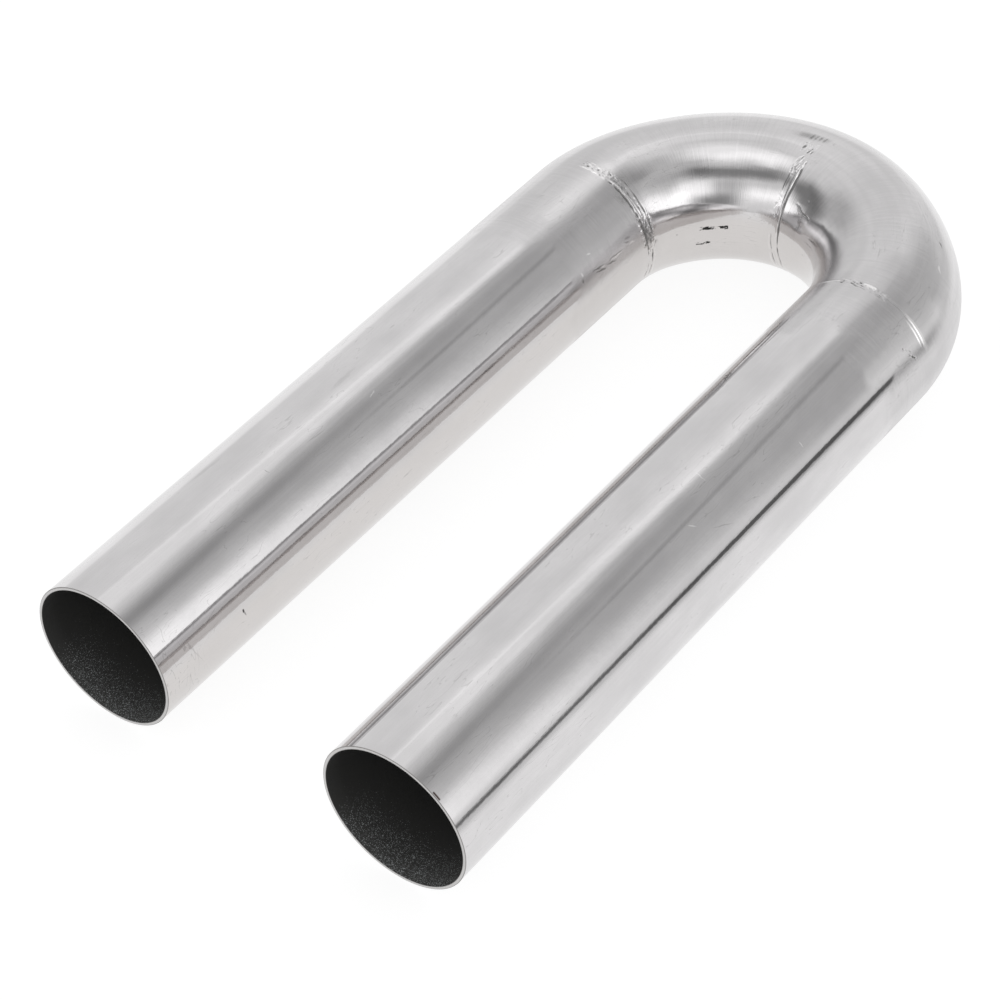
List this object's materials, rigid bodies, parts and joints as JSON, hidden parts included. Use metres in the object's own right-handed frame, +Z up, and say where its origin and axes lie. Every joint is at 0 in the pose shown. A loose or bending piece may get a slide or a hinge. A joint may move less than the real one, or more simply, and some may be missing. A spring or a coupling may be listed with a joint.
{
  "type": "return bend",
  "caption": "Round polished stainless steel tube bent to a U, with two long straight legs and plain cut ends.",
  "frame": {"origin": "under the middle of the tube's box, on the surface that the tube lies on", "axes": "+Z up, +Y along the legs from their open ends towards the bend, +X from the left leg to the right leg"},
  "size_m": [0.2004, 0.4052, 0.0635],
  "materials": {
    "polished_steel": "polished on the legs, satin round the bend"
  },
  "bodies": {
    "root": {"bent_tube": "polished_steel"}
  },
  "joints": []
}
